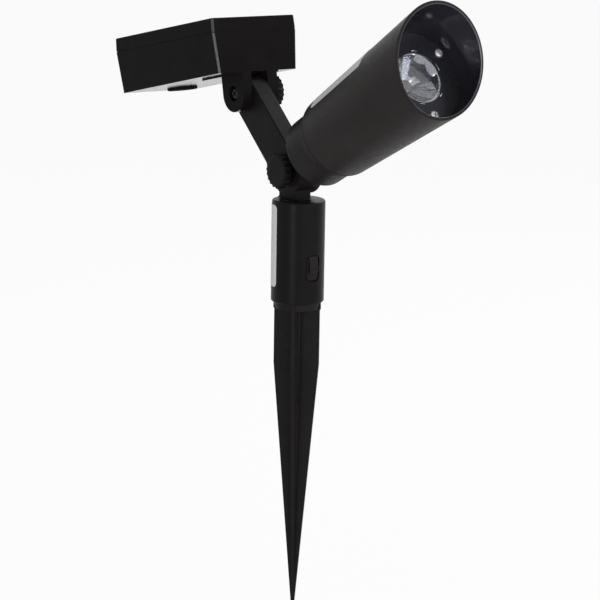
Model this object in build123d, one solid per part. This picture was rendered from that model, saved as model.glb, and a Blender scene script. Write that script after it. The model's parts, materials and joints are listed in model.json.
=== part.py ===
from build123d import *
import math
import os

os.makedirs("parts", exist_ok=True)

# Garden spike spotlight. Millimetres, +Z up, origin on the stem axis at the soil line.
# +X is the way the lamp points, +Y runs along both hinge screws.

# fits
slip = 0.1              # radial fit of pieces that plug into each other
side_play = 0.2         # each side of a hinge tongue
screw_play = 0.1        # shank in a clearance bore
thread_play = 0.05      # clamp nut on its screw
turn_play = 0.3         # between a piece that turns and the one it turns over

# spike
spike_length = 173.5
spike_shaft = 32.0      # straight part below the collar
vane_span = 25.6
vane_thickness = 2.0
vane_tip = 2.0
vane_pad = 2.7          # thickness of the raised upper faces
vane_pad_depth = 56.0
vane_pad_margin = 1.3
core_top = 5.4
core_tip = 1.6
collar_height = 4.3
collar_diameter = 24.4
collar_rib_span = 26.6
collar_rib_drop = 0.6
vane_count = 4
vane_angle = 45.0
plug_height = 33.0      # above the collar
plug_wall = 1.7
latch_gap = 0.6         # between the latch's pad and the stem's window
latch_slot = 0.9
latch_sink = 0.4        # pad below the stem's skin
latch_root = 5.0        # tongue root above the collar
nose_peak = 19.9        # widest point of the nose above the collar
nose_rise = 7.2
nose_drop = 2.8
nose_width = 5.6
nose_reach = 1.1        # beyond the stem's skin

# stem
stem_diameter = 29.6
stem_length = 57.0
stem_wall = 2.0
stem_cap = 2.6
stem_top_round = 1.3
stem_foot_round = 0.5
window_width = 8.7
window_height = 14.6
window_round = 3.0
window_height_up = 20.25  # window centre above the collar
stem_label_low = 8.7
stem_label_height = 45.8
stem_label_angle = 50.0
stem_label_from = -89.0  # edge nearest the latch
label_thickness = 0.16
label_glue = 0.03       # between a label and what it is stuck to

# bracket
bracket_width = 10.5    # across the hinge screws
bracket_edge = 0.7
arm_length = 57.3
arm_lean = 41.6         # above the horizontal, towards -X
arm_height = 22.4
arm_drop = 0.4          # the arm's middle line runs this far under the hinges
arm_end_diameter = 20.4
boss_diameter = 29.0
lamp_hinge_x = -5.5
lamp_hinge_rise = 15.7  # above the stem's top
stalk_length = 17.6
stalk_x = -3.9
stalk_corner = 1.8
stalk_flare = 0.6       # at the stalk's foot
spigot_diameter = 12.0
swivel_washer_diameter = 17.0
swivel_washer_thickness = 1.0

# hinge screws and knobs
screw_diameter = 4.0
screw_head_diameter = 7.2
screw_head_height = 2.2
knob_diameter = 19.8
knob_root_diameter = 18.2
knob_thickness = 4.7
knob_teeth = 20
knob_hub_diameter = 12.0
knob_hub_height = 2.0
nut_flats = 7.0
nut_height = 3.2

# lamp
lamp_pitch = 29.6
lamp_ear_diameter = 27.4
lamp_ear_thickness = 5.0
lamp_ear_neck = 19.0
back_start = 25.3       # from the hinge screw along the lamp's axis
back_diameter = 39.9
back_depth = 16.0
back_draft = 0.02
back_wall = 2.0
back_round = 1.0
tube_diameter = 45.4    # of its cone, taken to the joint with the rear cap
tube_taper = 0.052      # radius gained per millimetre
tube_wall = 1.8
tube_flange = 2.2
tube_flange_bore = 22.0
tube_step = 0.3         # tube's rear edge above the cap's skin
tube_shoulder = 6.4     # length over which it widens to the cone
tube_shoulder_round = 7.0
tube_edge_round = 0.4
mouth_start = 144.5     # where the axis meets the mouth
mouth_slant = 21.0
face_start = 122.6
face_thickness = 2.0
lug_inset = 3.9         # face screw to the tube's inner skin
face_screw_angle = 54.0  # first screw, from the top towards +Y
face_screw_count = 3
lug_diameter = 8.4
lug_length = 12.0
face_screw_diameter = 2.6
face_screw_head = 5.0
face_screw_head_height = 1.5
face_screw_length = 9.0
reflector_mouth = 27.6
reflector_throat = 9.0
reflector_depth = 14.0
reflector_wall = 1.0
reflector_lip = 28.8
reflector_lip_thickness = 1.1
reflector_proud = 0.3
lens_thickness = 1.2
post_diameter = 5.0      # posts on the plate's back that carry the heat sink
post_gap = 0.4          # between a post and the reflector's lip
sink_gap = 3.9          # between the heat sink and the tube
board_thickness = 1.6
led_size = 5.0
led_height = 1.0
led_dome = 3.6
sink_plate = 3.0
sink_fin_depth = 11.0
sink_fin_thickness = 1.6
sink_fin_count = 7
sink_fin_pitch = 5.4
back_boss_inset = 2.7   # screw to the cap's inner skin
back_screw_length = 7.5
back_boss_diameter = 6.4
tube_label_start = 55.2
tube_label_length = 53.1
tube_label_angle = 76.0
tube_label_from = -54.5  # from the top, towards -Y

# panel
panel_tilt = 11.0
panel_length = 107.6
panel_width = 56.9
panel_corner = 2.2
panel_end = 10.4        # hinge screw to the end face
housing_seam = 33.8     # hinge screw to the seam
housing_floor = 11.3    # hinge screw to the floor's skin at the end face
floor_slope = 1.0
housing_wall = 1.8
housing_side_draft = 0.088
housing_end_draft = 0.017
ear_outer = 11.9        # from the middle plane
ear_counterbore = 8.8
ear_counterbore_depth = 3.0
pad_length = 39.0
pad_width = 31.0
pad_thickness = 1.0
pad_corner = 5.0
lid_height = 7.7
lid_draft = 0.036
lid_round = 0.8
lid_lip = 3.0
lid_lip_thickness = 1.2
lid_shelf = 1.4         # ring inside the lid that carries the lip
gasket_thickness = 0.5
gasket_width = 1.0
gasket_inset = 0.7
cell_margin = 4.4
cell_rebate = 2.4
cell_thickness = 1.7
cell_drop = 0.2
cell_corner = 2.0
lid_top = 3.0
battery_diameter = 18.4
battery_length = 65.2
battery_shift = 3.9     # from the panel's middle towards the hinge
battery_side_gap = 2.2
battery_lift = 1.0
saddle_thickness = 3.0
saddle_span = 44.0
board_gap_far = 4.9     # board to the two end skins of the housing
board_gap_near = 19.1
board_side_gap = 3.4
board_battery_gap = 3.6
board_height = 1.6
standoff_diameter = 5.4
standoff_inset = 3.6
standoff_pitch = 54.0
button_inset = 15.2     # from the end away from the hinge
button_y = 6.4
button_diameter = 18.0
button_play = 0.4
button_drop = 0.6       # its face inside the floor's skin
button_height = 4.4
button_flange = 21.6
button_flange_thickness = 1.2
button_ring_wall = 1.3
button_travel = 1.0
switch_size = 8.0
switch_height = 3.6
switch_stem = 3.2

collar_top = collar_height
stem_foot = collar_top
stem_top = stem_foot + stem_length
stem_bore = stem_diameter / 2 - stem_wall
lamp_hinge_z = stem_top + lamp_hinge_rise
panel_hinge_x = lamp_hinge_x - arm_length * math.cos(math.radians(arm_lean))
panel_hinge_z = lamp_hinge_z + arm_length * math.sin(math.radians(arm_lean))
bracket_half = bracket_width / 2
ear_inner = bracket_half + side_play
workspace = 400.0       # longer than any piece, for cutting blocks

low = (Align.CENTER, Align.CENTER, Align.MIN)


def turned(points, angle=360.0):
    """Solid of revolution about Z from (radius, height) points."""
    face = make_face(Polyline(*points, close=True))
    return revolve(Plane.XZ * face, Axis.Z, angle)


def rod(diameter, start, length):
    """Upright cylinder standing on the height start."""
    return Pos(0, 0, start) * Cylinder(diameter / 2, length, align=low)


def slab(points, half):
    """Plate with an XZ outline, as thick to +Y as to -Y."""
    return extrude(Plane.XZ * make_face(Polyline(*points, close=True)), half, both=True)


def screw(head, head_height, shank, length):
    """Pan-head screw, shank down from the origin, head above it."""
    cap = rod(head, 0, head_height)
    cap = fillet(cap.edges().group_by(Axis.Z)[-1], min(head_height, head / 2) * 0.7)
    return cap + rod(shank, -length, length)


def save(name, shape):
    """Writes one node, each solid of it a child of its compound."""
    solids = shape.solids()
    node = solids[0] if len(solids) == 1 else Compound(children=list(solids))
    node.label = name
    export_step(node, f"parts/{name}.step")


def across(shape, y, toward=1):
    """Lays a piece built along Z on the hinge line, its +Z towards +Y or -Y."""
    return Pos(0, y, 0) * Rot(-90 * toward, 0, 0) * shape


def on_lamp_hinge(shape):
    return Pos(lamp_hinge_x, 0, lamp_hinge_z) * shape


def on_panel_hinge(shape):
    return Pos(panel_hinge_x, 0, panel_hinge_z) * shape


def on_lamp(shape):
    """From the lamp's own axes: Z along the tube, -X on its upper side."""
    return on_lamp_hinge(Rot(0, 90 - lamp_pitch, 0) * shape)


def on_panel(shape):
    """From the panel's own axes: X along its length, Z out of the cell."""
    return on_panel_hinge(Rot(0, -panel_tilt, 0) * shape)


# --- spike: cross of vanes, ribbed collar, hollow plug with its latch
def vane(thickness, span, top, depth_limit, margin):
    half = span / 2 - margin
    tip = vane_tip / 2
    slope = (half - tip) / (spike_length - spike_shaft)
    if depth_limit < spike_length:
        end = half - slope * (depth_limit - spike_shaft)
        outline = [(half, top), (half, -spike_shaft), (end, -depth_limit),
                   (-end, -depth_limit), (-half, -spike_shaft), (-half, top)]
    else:
        outline = [(half, top), (half, -spike_shaft), (tip, -spike_length + tip), (0, -spike_length),
                   (-tip, -spike_length + tip), (-half, -spike_shaft), (-half, top)]
    return slab(outline, thickness / 2)


spike = rod(collar_diameter, 0, collar_height)
spike += Pos(0, 0, -spike_length * 0.96) * Cone(core_tip / 2, core_top / 2, spike_length * 0.96, align=low)
for turn in range(vane_count // 2):
    angle = vane_angle + turn * 360 / vane_count
    rib_half = collar_rib_span / 2
    rib = slab([(-rib_half, -collar_rib_drop), (rib_half, -collar_rib_drop),
                (rib_half, collar_top), (-rib_half, collar_top)], vane_thickness / 2)
    spike += Rot(0, 0, angle) * rib
    spike += Rot(0, 0, angle) * vane(vane_thickness, vane_span, 0, spike_length, 0)
    spike += Rot(0, 0, angle) * vane(vane_pad, vane_span, 0, vane_pad_depth, vane_pad_margin)

plug_outer = stem_bore - slip
latch_width = window_width - 2 * latch_gap
plug_inner = plug_outer - plug_wall
plug = turned([(plug_inner, collar_top - 2.6), (plug_outer, collar_top - 2.6),
               (plug_outer, collar_top + plug_height - 1.5),
               (plug_outer - 1.0, collar_top + plug_height),
               (plug_inner, collar_top + plug_height)])
slot_height = plug_height - latch_root + 1
for side in (-1, 1):
    cut = Box(2 * plug_wall + 4, latch_slot, slot_height, align=low)
    plug -= Pos(plug_outer, side * (latch_width + latch_slot) / 2, collar_top + latch_root) * cut
nose_base = plug_outer - plug_wall / 2
nose_tip = stem_diameter / 2 + nose_reach
nose_z = collar_top + nose_peak
nose = slab([(nose_base, nose_z - nose_drop), (stem_diameter / 2 - 0.4, nose_z - nose_drop),
             (nose_tip, nose_z - 0.7), (nose_tip, nose_z + 0.7),
             (stem_diameter / 2 - 0.1, nose_z + nose_rise), (nose_base, nose_z + nose_rise)], nose_width / 2)
pad_outline = RectangleRounded(latch_width, window_height - 2 * latch_gap, window_round - latch_gap)
latch_pad = Pos(nose_base, 0, collar_top + window_height_up) * extrude(Plane.YZ * pad_outline, stem_wall * 2)
latch_pad &= rod(stem_diameter - 2 * latch_sink, 0, 2 * plug_height)
spike -= rod(2 * plug_inner, collar_top - 2.6, plug_height)
spike += plug
spike += latch_pad
spike += nose
save("spike", spike)

# --- stem: moulded tube, closed at the top but for the swivel's bore
stem_radius = stem_diameter / 2
pivot_bore = spigot_diameter / 2 + turn_play
stem = turned([(stem_bore, stem_foot), (stem_radius, stem_foot), (stem_radius, stem_top),
               (pivot_bore, stem_top), (pivot_bore, stem_top - stem_cap),
               (stem_bore, stem_top - stem_cap)])
outer_rims = stem.edges().filter_by(lambda e: e.geom_type == GeomType.CIRCLE and e.radius > stem_radius - 0.01)
stem = fillet(outer_rims.sort_by(Axis.Z)[-1], stem_top_round)
outer_rims = stem.edges().filter_by(lambda e: e.geom_type == GeomType.CIRCLE and e.radius > stem_radius - 0.01)
stem = fillet(outer_rims.sort_by(Axis.Z)[0], stem_foot_round)
window = extrude(Plane.YZ * RectangleRounded(window_width, window_height, window_round), stem_diameter)
stem -= Pos(0, 0, collar_top + window_height_up) * window
save("stem", stem)


def wrapped_label(low_radius, low_height, high_radius, high_height, start, angle):
    """Label lying on a cylinder or cone about Z."""
    inner = [(low_radius + label_glue, low_height), (high_radius + label_glue, high_height)]
    outer = [(radius + label_thickness, height) for radius, height in inner]
    return Rot(0, 0, start) * turned([inner[0], outer[0], outer[1], inner[1]], angle)


stem_label = wrapped_label(stem_radius, stem_foot + stem_label_low, stem_radius,
                           stem_foot + stem_label_low + stem_label_height,
                           stem_label_from - stem_label_angle, stem_label_angle)
save("stem_label", stem_label)

# --- bracket: swivel spigot, stalk, lamp boss and panel arm in one moulding
stalk_foot = stem_top + turn_play
lean = math.radians(arm_lean)
arm = Pos(-arm_length / 2, -arm_drop, 0) * Rectangle(arm_length, arm_height)
arm_end = Pos(-arm_length, 0, 0) * Circle(arm_end_diameter / 2)
arm_cut = Pos(-arm_length, 0, 0) * (Rectangle(2 * arm_height, 2 * arm_height) - Circle(arm_end_diameter / 2))
arm_cut &= Pos(-arm_length - arm_height, 0, 0) * Rectangle(2 * arm_height, 2 * arm_height)
outline = Rot(0, 0, -arm_lean) * ((arm - arm_cut) + arm_end) + Circle(boss_diameter / 2)
plate = extrude(Plane.XZ * outline, bracket_half, both=True)
faces_y = plate.faces().filter_by(Axis.Y)
plate = fillet(faces_y.edges(), bracket_edge)
bracket = on_lamp_hinge(plate)
stalk = RectangleRounded(stalk_length, bracket_width, stalk_corner)
bracket += Pos(stalk_x, 0, stalk_foot) * extrude(stalk, lamp_hinge_z - stalk_foot - 4)
flare = RectangleRounded(stalk_length + 2 * stalk_flare, bracket_width + 2 * stalk_flare, stalk_corner + stalk_flare)
bracket += Pos(stalk_x, 0, stalk_foot) * extrude(flare, stalk_flare, taper=45)
bracket += rod(spigot_diameter, stem_top - stem_cap - turn_play, stem_cap + 2 * turn_play)
bore = across(rod(screw_diameter + 2 * screw_play, -bracket_width, 2 * bracket_width), 0)
bracket -= on_lamp_hinge(bore)
bracket -= on_panel_hinge(bore)
pilot_depth = 10.0
bracket -= rod(screw_diameter, stem_top - stem_cap - turn_play, pilot_depth)
save("bracket", bracket)

washer_top = stem_top - stem_cap - turn_play
swivel_washer = rod(swivel_washer_diameter, washer_top - swivel_washer_thickness, swivel_washer_thickness)
swivel_washer -= rod(screw_diameter + 2 * screw_play, washer_top - 2 * swivel_washer_thickness,
                     3 * swivel_washer_thickness)
save("swivel_washer", swivel_washer)
swivel_screw = Rot(180, 0, 0) * screw(screw_head_diameter, screw_head_height, screw_diameter,
                                      pilot_depth - 1 + swivel_washer_thickness)
save("swivel_screw", Pos(0, 0, washer_top - swivel_washer_thickness) * swivel_screw)


# --- clamp knobs: knurled disc, hub and captive nut, built with the outer face up
def knob():
    """Origin on the face that the hub presses on, outer face up."""
    star = []
    for tooth in range(knob_teeth):
        for step, radius in ((0, knob_diameter), (0.5, knob_root_diameter)):
            a = math.tau * (tooth + step) / knob_teeth
            star.append((radius / 2 * math.cos(a), radius / 2 * math.sin(a)))
    disc = Pos(0, 0, knob_hub_height) * extrude(make_face(Polyline(*star, close=True)), knob_thickness)
    dome = turned([(0, knob_hub_height), (knob_diameter / 2 - 0.5, knob_hub_height),
                   (knob_diameter / 2, knob_hub_height + 0.5),
                   (knob_diameter / 2, knob_hub_height + knob_thickness - 0.5),
                   (knob_diameter / 2 - 0.5, knob_hub_height + knob_thickness),
                   (0, knob_hub_height + knob_thickness)])
    body = (disc & dome) + rod(knob_hub_diameter, 0, knob_hub_height)
    body -= extrude(RegularPolygon(nut_flats / 2, 6, major_radius=False), nut_height)
    return body - rod(screw_diameter + 2 * screw_play, 0, nut_height + 1.5)


def nut():
    body = extrude(RegularPolygon(nut_flats / 2, 6, major_radius=False), nut_height)
    return body - rod(screw_diameter + 2 * thread_play, 0, nut_height)


knob_reach = nut_height + 1.2
save("lamp_knob", on_lamp_hinge(across(knob(), -bracket_half, -1)))
save("lamp_knob_nut", on_lamp_hinge(across(nut(), -bracket_half, -1)))

# --- lamp: rear cap with its hinge ear
ear_start = bracket_half + side_play
ear_end = ear_start + lamp_ear_thickness
back_radius = back_diameter / 2
back_front = back_start + back_depth
back_front_radius = back_radius + back_draft * back_depth
back_screw_circle = back_diameter - 2 * (back_wall + back_boss_inset)
back = turned([(0, back_start), (back_radius, back_start), (back_front_radius, back_front),
               (back_front_radius - back_wall, back_front), (back_radius - back_wall, back_start + back_wall),
               (0, back_start + back_wall)])
rear_rim = back.edges().filter_by(GeomType.CIRCLE).sort_by(Axis.Z)[0]
back = fillet(rear_rim, back_round)
ear_profile = Circle(lamp_ear_diameter / 2)
ear_profile += Pos(back_start / 2, 0, 0) * Rectangle(back_start + 1, lamp_ear_neck)
# the ear's sketch X runs along the tube, so it is turned to the lamp's Z
ear = Pos(0, ear_start, 0) * extrude(Plane.XZ.rotated((0, 0, 0)) * ear_profile, -lamp_ear_thickness)
ear = Rot(0, -90, 0) * ear
back += ear
back -= across(rod(screw_diameter + 2 * screw_play, 0, ear_end + 5), 0)
for index in range(face_screw_count):
    angle = 180 - face_screw_angle - index * 360 / face_screw_count
    boss = Pos(back_screw_circle / 2, 0, 0) * rod(back_boss_diameter, back_start + 1, back_depth - 1)
    hole = Pos(back_screw_circle / 2, 0, 0) * rod(face_screw_diameter, back_front - back_screw_length + 1,
                                                 back_screw_length)
    back += Rot(0, 0, angle) * boss
    back -= Rot(0, 0, angle) * hole
save("lamp_back", on_lamp(back))

lamp_screw_reach = bracket_half + knob_reach
lamp_screw = across(screw(screw_head_diameter, screw_head_height, screw_diameter, ear_end + lamp_screw_reach),
                    ear_end)
save("lamp_screw", on_lamp_hinge(lamp_screw))


# --- lamp: tapered tube with its slanted mouth
def tube_radius(height):
    return tube_diameter / 2 + tube_taper * (height - back_front)


face_screw_circle = 2 * (tube_radius(face_start) - tube_wall - lug_inset)
reach = mouth_start + tube_diameter
flange_top = back_front + tube_flange
tube_rear = back_front_radius + tube_step
cone_start = back_front + tube_shoulder
# skin at the flange's front face, on the slope of the shoulder
flange_skin = tube_rear + (tube_radius(cone_start) - tube_rear) * tube_flange / tube_shoulder
tube = turned([(tube_flange_bore / 2, back_front), (tube_rear, back_front), (tube_radius(cone_start), cone_start),
               (tube_radius(reach), reach), (tube_radius(reach) - tube_wall, reach),
               (tube_radius(cone_start) - tube_wall, cone_start), (flange_skin - tube_wall, flange_top),
               (tube_flange_bore / 2, flange_top)])
outer_circles = tube.edges().filter_by(lambda e: e.geom_type == GeomType.CIRCLE and e.radius > tube_rear - 0.01)
shoulder = outer_circles.sort_by(lambda e: abs(e.center().Z - cone_start) + abs(e.radius - tube_radius(cone_start)))[0]
tube = fillet(shoulder, tube_shoulder_round)
rear_edge = tube.edges().filter_by(GeomType.CIRCLE).group_by(Axis.Z)[0].sort_by(SortBy.LENGTH)[-1]
tube = fillet(rear_edge, tube_edge_round)
face_angles = [180 - face_screw_angle - index * 360 / face_screw_count for index in range(face_screw_count)]
for angle in face_angles:
    lug = Pos(face_screw_circle / 2, 0, 0) * rod(lug_diameter, face_start - lug_length, lug_length)
    hole = Pos(face_screw_circle / 2, 0, 0) * rod(face_screw_diameter, face_start - face_screw_length,
                                                 face_screw_length + 1)
    tube += Rot(0, 0, angle) * lug
    tube -= Rot(0, 0, angle) * hole
    tube -= Rot(0, 0, angle) * Pos(back_screw_circle / 2, 0, 0) * rod(face_screw_diameter + 2 * screw_play,
                                                                    back_front - 1, tube_flange + 2)
slant = math.radians(mouth_slant)
mouth_plane = Plane(origin=(0, 0, mouth_start), z_dir=(math.sin(slant), 0, math.cos(slant)))
tube -= mouth_plane * Box(4 * tube_diameter, 4 * tube_diameter, 2 * tube_diameter, align=low)
rims = tube.edges().filter_by(lambda e: (mouth_plane.to_local_coords(e.center()).Z) > -0.01)
tube = fillet(rims, tube_wall * 0.3)
save("lamp_tube", on_lamp(tube))

back_screw = screw(face_screw_head, face_screw_head_height, face_screw_diameter, back_screw_length)
back_screws = [Rot(0, 0, a) * Pos(back_screw_circle / 2, 0, flange_top) * back_screw for a in face_angles]
save("back_screws", on_lamp(Compound(children=back_screws)))

tube_label_end = tube_label_start + tube_label_length
tube_label = wrapped_label(tube_radius(tube_label_start), tube_label_start, tube_radius(tube_label_end),
                           tube_label_end, 180 - tube_label_from - tube_label_angle, tube_label_angle)
save("lamp_label", on_lamp(tube_label))

# --- lamp: face plate, reflector, lens, light source and heat sink
rim_top = face_start + face_thickness + reflector_proud
board_top = rim_top - reflector_depth
board_low = board_top - board_thickness
sink_low = board_low - sink_plate
board_diameter = 2 * (tube_radius(sink_low) - tube_wall - sink_gap)
post_circle = reflector_lip + post_diameter + 2 * post_gap
post_angles = [angle + 180 / face_screw_count for angle in face_angles]


def round_axis(angle, circle, shape):
    """Moves a piece on the lamp's axis out to a bolt circle."""
    return Rot(0, 0, angle) * Pos(circle / 2, 0, 0) * shape


face_end = face_start + face_thickness
face_radius = tube_radius(face_start) - tube_wall - slip
opening = reflector_mouth / 2 + slip
face_plate = turned([(opening, face_start), (face_radius, face_start),
                     (face_radius + tube_taper * face_thickness, face_end), (opening, face_end)])
face_hole = rod(face_screw_diameter + 2 * screw_play, face_start - 1, face_thickness + 2)
post = rod(post_diameter, board_top, face_start - board_top + 0.5)
post -= rod(face_screw_diameter, board_top - 1, face_screw_length)
for angle in face_angles:
    face_plate -= round_axis(angle, face_screw_circle, face_hole)
for angle in post_angles:
    face_plate += round_axis(angle, post_circle, post)
save("face_plate", on_lamp(face_plate))

face_screw = screw(face_screw_head, face_screw_head_height, face_screw_diameter, face_screw_length - 1)
face_screws = [round_axis(a, face_screw_circle, Pos(0, 0, face_end) * face_screw) for a in face_angles]
save("face_screws", on_lamp(Compound(children=face_screws)))

steps = 8
bowl = []
for step in range(steps + 1):
    share = step / steps
    # a parabola from the throat to the mouth
    gain = reflector_mouth / 2 - reflector_wall - reflector_throat / 2
    bowl.append((reflector_throat / 2 + gain * math.sqrt(share),
                 board_top + reflector_wall + (reflector_depth - reflector_wall - lens_thickness) * share))
lens_seat = reflector_mouth / 2 - reflector_wall / 2
lens_low = rim_top - lens_thickness
skin = [(lens_seat, lens_low), (lens_seat, rim_top), (reflector_mouth / 2, rim_top),
        (reflector_mouth / 2, face_start), (reflector_lip / 2, face_start),
        (reflector_lip / 2, face_start - reflector_lip_thickness),
        (reflector_mouth / 2, face_start - reflector_lip_thickness),
        (reflector_throat / 2 + 5.0, board_top), (reflector_throat / 2, board_top)]
save("reflector", on_lamp(turned(bowl + skin)))
lens = rod(2 * (lens_seat - slip), lens_low, lens_thickness - 0.2)
save("lens", on_lamp(lens))

led_board = rod(board_diameter, board_low, board_thickness)
heatsink = rod(board_diameter, sink_low, sink_plate)
for index in range(sink_fin_count):
    offset = (index - (sink_fin_count - 1) / 2) * sink_fin_pitch
    half = math.sqrt((board_diameter / 2) ** 2 - (abs(offset) + sink_fin_thickness) ** 2) - 0.5
    fin = Box(sink_fin_thickness, 2 * half, sink_fin_depth + 0.5, align=low)
    heatsink += Pos(offset, 0, sink_low - sink_fin_depth) * fin
for angle in face_angles:
    notch = rod(lug_diameter + 4 * turn_play, sink_low - 2 * sink_fin_depth, 4 * sink_fin_depth)
    led_board -= round_axis(angle, face_screw_circle, notch)
    heatsink -= round_axis(angle, face_screw_circle, notch)
for angle in post_angles:
    hole = rod(face_screw_diameter + 2 * screw_play, sink_low - 1, sink_plate + board_thickness + 2)
    access = rod(face_screw_head + 1.0, sink_low - 2 * sink_fin_depth, 2 * sink_fin_depth)
    led_board -= round_axis(angle, post_circle, hole)
    heatsink -= round_axis(angle, post_circle, hole + access)
save("led_board", on_lamp(led_board))
save("heatsink", on_lamp(heatsink))
sink_screw = Rot(180, 0, 0) * screw(face_screw_head, face_screw_head_height, face_screw_diameter,
                                    sink_plate + board_thickness + face_screw_length - 3)
sink_screws = [round_axis(a, post_circle, Pos(0, 0, sink_low) * sink_screw) for a in post_angles]
save("heatsink_screws", on_lamp(Compound(children=sink_screws)))
led = Pos(0, 0, board_top) * Box(led_size, led_size, led_height, align=low)
led += Pos(0, 0, board_top + led_height) * (Sphere(led_dome / 2) & rod(led_dome, 0, led_dome))
save("led", on_lamp(led))

# --- panel housing: tapered box, sloping floor, two hinge ears
panel_middle = panel_end - panel_length / 2
slope = math.tan(math.radians(floor_slope))
loft_low = housing_floor - panel_length * slope - 1
loft_height = housing_seam - loft_low


def box_outline(inset, height):
    """Outline of the housing's skin, moved in by inset, at a height below the seam."""
    drop = housing_seam - height
    size_x = panel_length - 2 * (inset + housing_end_draft * drop)
    size_y = panel_width - 2 * (inset + housing_side_draft * drop)
    return Pos(panel_middle, 0, height) * RectangleRounded(size_x, size_y, max(panel_corner - inset, 0.5))


def above_floor(lift):
    """Everything above the sloping floor's skin, raised by lift."""
    floor = Plane(origin=(panel_end, 0, housing_floor + lift), x_dir=(1, 0, slope), z_dir=(-slope, 0, 1))
    return floor * Pos(-panel_length / 2, 0, 0) * Box(workspace, workspace, workspace, align=low)


def floor_height(x):
    return housing_floor + (x - panel_end) * slope


outer = loft([box_outline(0, loft_low), box_outline(0, housing_seam)]) & above_floor(0)
inner = loft([box_outline(housing_wall, loft_low), box_outline(housing_wall, housing_seam + 0.001)])
housing = outer - (inner & above_floor(housing_wall))

ear_radius = panel_end
ear_face = Circle(ear_radius) + Pos(0, (housing_floor + 0.5) / 2, 0) * Rectangle(2 * ear_radius, housing_floor + 0.5)
for side in (-1, 1):
    plate = extrude(Plane.XZ * ear_face, -(ear_outer - ear_inner))
    base = ear_inner if side > 0 else -ear_outer
    housing += Pos(0, base, 0) * plate
pad = Pos(panel_end - pad_length / 2, 0, 0) * RectangleRounded(pad_length, pad_width, pad_corner)
pad = Pos(0, 0, housing_floor - 4) * extrude(pad, 8)
pad -= Box(workspace, 2 * ear_inner, workspace)
pad = (pad & above_floor(-pad_thickness)) - above_floor(0.5)
housing += pad & (Pos(panel_middle, 0, 0) * Box(panel_length, panel_width, workspace))
housing -= across(rod(screw_diameter + 2 * screw_play, -ear_outer - 1, 2 * ear_outer + 2), 0)
housing -= across(rod(ear_counterbore, 0, ear_counterbore_depth + 1), -ear_outer + ear_counterbore_depth, -1)
hub_seat = knob_hub_height
housing -= across(rod(knob_hub_diameter + 2 * turn_play, 0, hub_seat + 1), ear_outer - hub_seat)

button_x = panel_end - panel_length + button_inset
button_floor = floor_height(button_x)
ring_top = button_floor + button_drop + button_height - turn_play
button_bore = button_diameter / 2 + button_play
ring = Pos(button_x, button_y, 0) * rod(2 * (button_bore + button_ring_wall), button_floor + 0.8,
                                        ring_top - button_floor - 0.8)
housing += ring
housing -= Pos(button_x, button_y, 0) * rod(2 * button_bore, button_floor - 2, ring_top - button_floor + 4)

battery_x = panel_middle + battery_shift
battery_z = floor_height(battery_x) + housing_wall + battery_lift + battery_diameter / 2
skin_at_battery = panel_width / 2 - housing_wall - housing_side_draft * (housing_seam - battery_z)
battery_y = battery_side_gap + battery_diameter / 2 - skin_at_battery
for side in (-1, 1):
    saddle = Box(saddle_thickness, battery_diameter * 0.9, battery_diameter * 0.4 + battery_lift, align=low)
    saddle = Pos(battery_x + side * saddle_span / 2, battery_y,
                 battery_z - battery_diameter / 2 - battery_lift - 0.5) * saddle
    saddle -= Pos(battery_x, battery_y, battery_z) * Rot(0, 90, 0) * Cylinder(battery_diameter / 2, 2 * saddle_span)
    housing += saddle
switch_low = ring_top + turn_play + button_flange_thickness + button_travel + 0.4
board_low_z = switch_low + switch_height
board_length = panel_length - board_gap_near - board_gap_far
board_x = panel_end - board_gap_near - board_length / 2
board_edge_low = battery_y + battery_diameter / 2 + board_battery_gap
board_edge_high = skin_at_battery - board_side_gap
board_width = board_edge_high - board_edge_low
board_y = (board_edge_low + board_edge_high) / 2
stand_offsets = [(board_length / 2 - standoff_inset - step * standoff_pitch,
                  side * (board_width / 2 - standoff_inset)) for step in (0, 1) for side in (-1, 1)]
for sx, sy in stand_offsets:
    x = board_x + sx
    start = floor_height(x) + housing_wall - 0.5
    post = rod(standoff_diameter, start, board_low_z - start) - rod(face_screw_diameter, board_low_z - 6, 7)
    housing += Pos(x, board_y + sy, 0) * post
save("panel_housing", on_panel(housing))

# --- panel internals: battery, charging board with its screws, push switch
battery = Rot(0, 90, 0) * Cylinder(battery_diameter / 2, battery_length)
battery += Pos(battery_length / 2, 0, 0) * Rot(0, 90, 0) * Cylinder(2.8, 1.6)
save("battery", on_panel(Pos(battery_x, battery_y, battery_z) * battery))

panel_board = Pos(board_x, board_y, board_low_z) * Box(board_length, board_width, board_height, align=low)
post_screws = []
for sx, sy in stand_offsets:
    panel_board -= Pos(board_x + sx, board_y + sy, 0) * rod(face_screw_diameter + 2 * screw_play,
                                                           board_low_z - 1, board_height + 2)
    post_screws.append(Pos(board_x + sx, board_y + sy, board_low_z + board_height)
                       * screw(face_screw_head, 1.4, face_screw_diameter, board_height + 4))
save("panel_board", on_panel(panel_board))
save("panel_board_screws", on_panel(Compound(children=post_screws)))

button_top = ring_top + turn_play + button_flange_thickness
button = rod(button_diameter, button_floor + button_drop, button_height)
button = fillet(button.edges().group_by(Axis.Z)[0], 1.0)
button += rod(button_flange, ring_top + turn_play, button_flange_thickness)
button += rod(switch_stem, button_top, switch_low - button_top + 0.8)
save("mode_button", on_panel(Pos(button_x, button_y, 0) * button))
switch = Pos(0, 0, switch_low) * Box(switch_size, switch_size, switch_height, align=low)
switch -= rod(switch_stem + 2 * button_play, switch_low, 0.8 + button_travel + 0.6)
save("button_switch", on_panel(Pos(button_x, button_y, 0) * switch))

# --- gasket, lid and solar cell
seam_top = housing_seam + gasket_thickness
gasket = extrude(box_outline(gasket_inset, housing_seam), gasket_thickness)
gasket -= extrude(box_outline(gasket_inset + gasket_width, housing_seam), gasket_thickness)
save("panel_gasket", on_panel(gasket))

lid_end = seam_top + lid_height


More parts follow.
